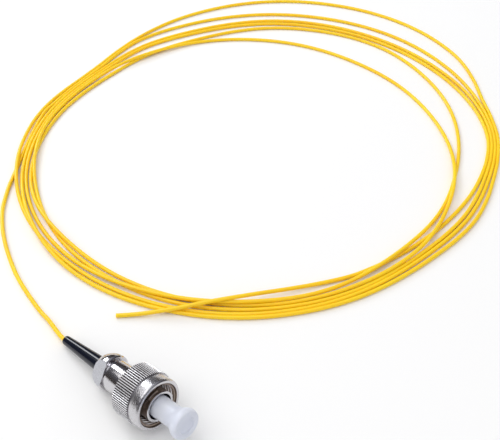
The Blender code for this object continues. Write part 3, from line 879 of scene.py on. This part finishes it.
class PIGTAIL_OT_build_plug(Operator):
    """Build the plug frame with its key, the ferrule holder and the ceramic ferrule"""

    bl_idname = "pigtail.build_plug"
    bl_label = "Build plug"

    def build_frame(self, plug, plating, shade):
        collar_front = FRAME_REAR + plug.collar_length
        key_front = FRAME_FRONT - 0.5 * MM
        key_rear = key_front - plug.key_length
        ramp_length = 0.08 * MM
        shoulder_radius = FERRULE_RADIUS + 0.3 * MM
        outline = [
            (FRAME_REAR, plug.frame_bore, 0.05 * MM),
            (FRAME_REAR, plug.collar_radius, 0.1 * MM),
            (collar_front, plug.collar_radius, 0.1 * MM),
            (collar_front, plug.frame_radius, 0.05 * MM),
            (key_rear - ramp_length, plug.frame_radius, 0.0),
            (key_rear, plug.frame_radius, 0.0),
            (key_front, plug.frame_radius, 0.0),
            (key_front + ramp_length, plug.frame_radius, 0.0),
            (FRAME_FRONT, plug.frame_radius, 0.16 * MM),
            (FRAME_FRONT, plug.frame_bore, 0.12 * MM),
            (SHOULDER_FRONT, plug.frame_bore, 0.08 * MM),
            (SHOULDER_FRONT, shoulder_radius, 0.06 * MM),
            (SHOULDER_REAR, shoulder_radius, 0.06 * MM),
            (SHOULDER_REAR, plug.frame_bore, 0.08 * MM),
        ]
        shape = turned_shape(eased(outline, closed=True), steps=240, closed=True)
        half_turn = plug.key_width / 2.0 / plug.frame_radius
        slack = 0.01 * MM
        for vertex in shape.verts:
            radius, turn = polar_parts(vertex.co)
            along = key_rear - slack <= vertex.co.x <= key_front + slack
            outside = radius > plug.frame_radius - slack
            if along and outside and abs(turn - plug.key_turn) < half_turn:
                set_radius(vertex.co, plug.frame_radius + plug.key_height)
        rim = 0.1 * MM
        # Painted shade on the frame's outer faces inside the nut, all but the front face
        for face in shape.faces:
            middle = face.calc_center_median()
            outside = polar_parts(middle)[0] > plug.frame_bore + rim
            if outside and middle.x < FRAME_FRONT - rim:
                face.material_index = SHADED_FINISH
        piece = finished_piece("keyed_plug_frame", shape, [plating, shade], sharp_degrees=28.0)
        hand_over(piece, "root", "plug_frame")

    def build_holder(self, plug, plating):
        bore = FERRULE_RADIUS + FIT_GAP
        stem = bore + 0.3 * MM
        outline = [
            (HOLDER_STEM_REAR, bore, 0.05 * MM),
            (HOLDER_STEM_REAR, stem, 0.08 * MM),
            (HOLDER_REAR, stem, 0.08 * MM),
            (HOLDER_REAR, plug.holder_radius, 0.1 * MM),
            (HOLDER_FRONT, plug.holder_radius, 0.15 * MM),
            (HOLDER_FRONT, bore, 0.05 * MM),
        ]
        shape = turned_shape(eased(outline, closed=True), steps=96, closed=True)
        piece = finished_piece("pressed_ferrule_holder", shape, [plating], sharp_degrees=28.0)
        hand_over(piece, "sprung_ferrule", "ferrule_holder")

    def build_ferrule(self, plug):
        """A ground pin with a chamfered, slightly domed tip and the polished fibre in it."""
        dome = 0.04 * MM
        glass_radius = 0.0625 * MM
        tip_radius = 0.85 * MM
        outline = [
            (HOLDER_STEM_REAR, 0.0, 0.0),
            (HOLDER_STEM_REAR, FERRULE_RADIUS, 0.1 * MM),
            (FERRULE_TIP - 0.35 * MM, FERRULE_RADIUS, 0.1 * MM),
            (FERRULE_TIP - dome, tip_radius, 0.06 * MM),
            (FERRULE_TIP - dome * 0.25, tip_radius / 2.0, 0.2 * MM),
            (FERRULE_TIP, glass_radius, 0.0),
            (FERRULE_TIP, 0.0, 0.0),
        ]
        shape = turned_shape(eased(outline), steps=96)
        for face in shape.faces:
            middle = face.calc_center_median()
            if middle.x > FERRULE_TIP - 0.001 * MM and polar_parts(middle)[0] < glass_radius:
                face.material_index = GLASS_FINISH
        finishes = [white_ceramic(plug.ceramic_colour), polished_glass(plug.glass_colour)]
        piece = finished_piece("ceramic_ferrule", shape, finishes, sharp_degrees=28.0)
        hand_over(piece, "sprung_ferrule", "ferrule")

    def execute(self, context):
        plug = context.scene.pigtail_plug
        metal = context.scene.pigtail_metal
        plating = polished_plating(metal, "plug_plating", metal.roughness, 0.012 * MM)
        # The plug frame's outer faces take the bore's painted shade
        self.build_frame(plug, plating, painted_light_plating("frame_painted_shade", metal.bore_shade_colour))
        self.build_holder(plug, plating)
        self.build_ferrule(plug)
        return {"FINISHED"}


class PIGTAIL_OT_mould_cap(Operator):
    """Mould the milky dust cap with its flared rim and dished face"""

    bl_idname = "pigtail.mould_cap"
    bl_label = "Mould dust cap"

    def outline(self, cap):
        rim_middle = CAP_FRONT - cap.rim_length
        flare_rear = rim_middle - cap.flare_length
        bore = FERRULE_RADIUS + FIT_GAP
        bore_front = FERRULE_TIP + 0.3 * MM
        outline = [
            (bore_front, 0.0),
            (bore_front, bore),
            (CAP_REAR + 0.12 * MM, bore),
            (CAP_REAR, bore + 0.12 * MM),
            (CAP_REAR, cap.radius - 0.15 * MM),
            (CAP_REAR + 0.04 * MM, cap.radius - 0.04 * MM),
            (CAP_REAR + 0.15 * MM, cap.radius),
        ]
        flare_steps = 16
        for step in range(flare_steps + 1):
            share = step / flare_steps
            rise = math.sin(share * math.pi / 2.0) ** 3
            radius = cap.radius + rise * (cap.rim_radius - cap.radius)
            outline.append((flare_rear + share * cap.flare_length, radius))
        round_steps = 12
        rim_reach = cap.rim_radius - cap.face_radius
        for step in range(1, round_steps + 1):
            turn = step / round_steps * math.pi / 2.0
            radius = cap.face_radius + rim_reach * math.cos(turn)
            outline.append((rim_middle + cap.rim_length * math.sin(turn), radius))
        dish_steps = 8
        for step in range(dish_steps + 1):
            share = step / dish_steps
            sink = math.sin(share * math.pi / 2.0) ** 2
            radius = cap.dish_radius - share * cap.dish_depth
            outline.append((CAP_FRONT - sink * cap.dish_depth, radius))
        outline.append((CAP_FRONT - cap.dish_depth, 0.0))
        return outline

    def execute(self, context):
        cap = context.scene.pigtail_cap
        shape = turned_shape(self.outline(cap), steps=128)
        piece = finished_piece("milky_dust_cap", shape, [milky_plastic(cap.colour)], sharp_degrees=40.0)
        hand_over(piece, "cap", "dust_cap")
        return {"FINISHED"}


class PIGTAIL_OT_mould_boot(Operator):
    """Mould the tapered black boot round the fibre"""

    bl_idname = "pigtail.mould_boot"
    bl_label = "Mould boot"

    def execute(self, context):
        boot = context.scene.pigtail_boot
        stub_bore = context.scene.pigtail_body.stub_radius + FIT_GAP
        stub_end = STUB_REAR - 0.3 * MM
        hole_end = BOOT_TIP + 2.0 * MM
        outline = [
            (hole_end, 0.0, 0.0),
            (hole_end, boot.hole_radius, 0.0),
            (BOOT_TIP, boot.hole_radius, 0.06 * MM),
            (BOOT_TIP, boot.tip_radius, boot.tip_round),
            (BOOT_TIP + 1.2 * MM, boot.tip_radius + 0.06 * MM, 0.3 * MM),
            (BOOT_BASE, boot.base_radius, 0.1 * MM),
            (BOOT_BASE, stub_bore, 0.05 * MM),
            (stub_end, stub_bore, 0.0),
            (stub_end, 0.0, 0.0),
        ]
        shape = turned_shape(eased(outline, steps=6), steps=96)
        piece = finished_piece("tapered_boot", shape, [glossy_plastic(boot.colour)], sharp_degrees=40.0)
        hand_over(piece, "root", "boot")
        return {"FINISHED"}


class PIGTAIL_OT_set_stage(Operator):
    """Set up the camera, the pale floor and the soft studio light"""

    bl_idname = "pigtail.set_stage"
    bl_label = "Set stage"

    def place_camera(self, context, stage):
        data = bpy.data.cameras.new("photo_camera")
        data.lens = stage.focal_length
        data.sensor_width = 36.0
        data.clip_start = 1.0 * MM
        data.clip_end = 20.0
        camera = linked("photo_camera", data)
        forward = AXIS_START.x + stage.camera_forward
        camera.location = (forward, -stage.camera_side, stage.camera_height)
        camera.rotation_euler = (math.pi / 2.0 - stage.camera_tilt, 0.0, stage.camera_heading)
        context.scene.camera = camera

    def lay_floor(self, stage):
        shape = bmesh.new()
        bmesh.ops.create_grid(shape, x_segments=8, y_segments=8, size=stage.floor_size / 2.0)
        mesh = bpy.data.meshes.new("pale_floor")
        shape.to_mesh(mesh)
        shape.free()
        mesh.materials.append(pale_floor(stage.floor_colour))
        floor = linked("pale_floor", mesh)

    def add_softbox(self, name, place, size, radiance, colour, aim):
        """A rectangular lamp of the given brightness, seen in reflections but not by the camera."""
        data = bpy.data.lights.new(name, "AREA")
        data.shape = "RECTANGLE"
        data.size = size[0]
        data.size_y = size[1]
        data.energy = radiance * math.pi * size[0] * size[1]
        data.color = colour
        light = linked(name, data)
        light.location = place
        light.rotation_euler = (Vector(aim) - Vector(place)).to_track_quat("-Z", "Y").to_euler()
        light.visible_camera = False

    def plain_light(self, tree, colour):
        light = tree.nodes.new("ShaderNodeBackground")
        light.inputs["Color"].default_value = (*colour, 1.0)
        return light.outputs["Background"]

    def by_ray(self, tree, is_ray, others_see, ray_sees):
        choice = tree.nodes.new("ShaderNodeMixShader")
        tree.links.new(is_ray, choice.inputs["Fac"])
        tree.links.new(others_see, choice.inputs[1])
        tree.links.new(ray_sees, choice.inputs[2])
        return choice.outputs["Shader"]

    def set_world(self, context):
        """Pale all round light, with darker walls for the metal to mirror and a pale backdrop."""
        world = bpy.data.worlds.new("studio")
        world.use_nodes = True
        tree = world.node_tree
        background = tree.nodes["Background"]
        place = tree.nodes.new("ShaderNodeTexCoord")
        axes = tree.nodes.new("ShaderNodeSeparateXYZ")
        walls = tree.nodes.new("ShaderNodeValToRGB")
        tones = (
            (0.0, (0.045, 0.032, 0.025)),
            (0.12, (0.05, 0.042, 0.038)),
            (0.42, (0.085, 0.083, 0.092)),
            (0.65, (0.16, 0.16, 0.19)),
            (1.0, (0.6, 0.62, 0.66)),
        )
        stops = walls.color_ramp.elements
        for position, _ in tones[1:-1]:
            stops.new(position)
        for stop, (_, colour) in zip(stops, tones):
            stop.color = (*colour, 1.0)
        tree.links.new(place.outputs["Generated"], axes.inputs["Vector"])
        tree.links.new(axes.outputs["Z"], walls.inputs["Fac"])
        tree.links.new(walls.outputs["Color"], background.inputs["Color"])
        rays = tree.nodes.new("ShaderNodeLightPath").outputs
        ambient = self.plain_light(tree, (0.7, 0.7, 0.71))
        backdrop = self.plain_light(tree, (0.8, 0.81, 0.82))
        shown = self.by_ray(tree, rays["Is Glossy Ray"], ambient, background.outputs["Background"])
        shown = self.by_ray(tree, rays["Is Camera Ray"], shown, backdrop)
        tree.links.new(shown, tree.nodes["World Output"].inputs["Surface"])
        context.scene.world = world

    def execute(self, context):
        stage = context.scene.pigtail_stage
        self.place_camera(context, stage)
        self.lay_floor(stage)
        coil = (COIL_CENTRE.x, COIL_CENTRE.y, 0.0)
        plug = tuple(AXIS_START)
        self.add_softbox("top_softbox", (-0.3, -0.2, 0.85), (1.0, 1.0), 1.3, (1.0, 0.99, 0.97), coil)
        self.add_softbox(
            "side_softbox", (-0.615, 0.176, 0.392), (0.19, 0.24), 8.5, (0.96, 0.98, 1.0), plug
        )
        self.set_world(context)
        context.scene.view_settings.view_transform = "Standard"
        return {"FINISHED"}


SETTINGS = {
    "pigtail_fibre": FibreSettings,
    "pigtail_metal": MetalSettings,
    "pigtail_nut": NutSettings,
    "pigtail_body": BodySettings,
    "pigtail_plug": PlugSettings,
    "pigtail_cap": CapSettings,
    "pigtail_boot": BootSettings,
    "pigtail_stage": StageSettings,
}
OPERATORS = (
    PIGTAIL_OT_set_stage,
    PIGTAIL_OT_lay_fibre,
    PIGTAIL_OT_turn_nut,
    PIGTAIL_OT_turn_body,
    PIGTAIL_OT_build_plug,
    PIGTAIL_OT_mould_cap,
    PIGTAIL_OT_mould_boot,
)


class PIGTAIL_PT_sidebar(Panel):
    """List the steps that build the pigtail"""

    bl_idname = "PIGTAIL_PT_sidebar"
    bl_label = "Fibre pigtail"
    bl_space_type = "VIEW_3D"
    bl_region_type = "UI"
    bl_category = "Pigtail"

    def draw(self, context):
        for operator in OPERATORS:
            self.layout.operator(operator.bl_idname)


def register():
    for group in SETTINGS.values():
        bpy.utils.register_class(group)
    for name, group in SETTINGS.items():
        setattr(bpy.types.Scene, name, PointerProperty(type=group))
    for operator in OPERATORS:
        bpy.utils.register_class(operator)
    bpy.utils.register_class(PIGTAIL_PT_sidebar)


def unregister():
    bpy.utils.unregister_class(PIGTAIL_PT_sidebar)
    for operator in reversed(OPERATORS):
        bpy.utils.unregister_class(operator)
    for name, group in reversed(SETTINGS.items()):
        delattr(bpy.types.Scene, name)
        bpy.utils.unregister_class(group)


def main():
    register()
    bpy.ops.pigtail.set_stage()
    bpy.ops.pigtail.lay_fibre()
    bpy.ops.pigtail.turn_nut()
    bpy.ops.pigtail.turn_body()
    bpy.ops.pigtail.build_plug()
    bpy.ops.pigtail.mould_cap()
    bpy.ops.pigtail.mould_boot()


if __name__ == "__main__":
    main()
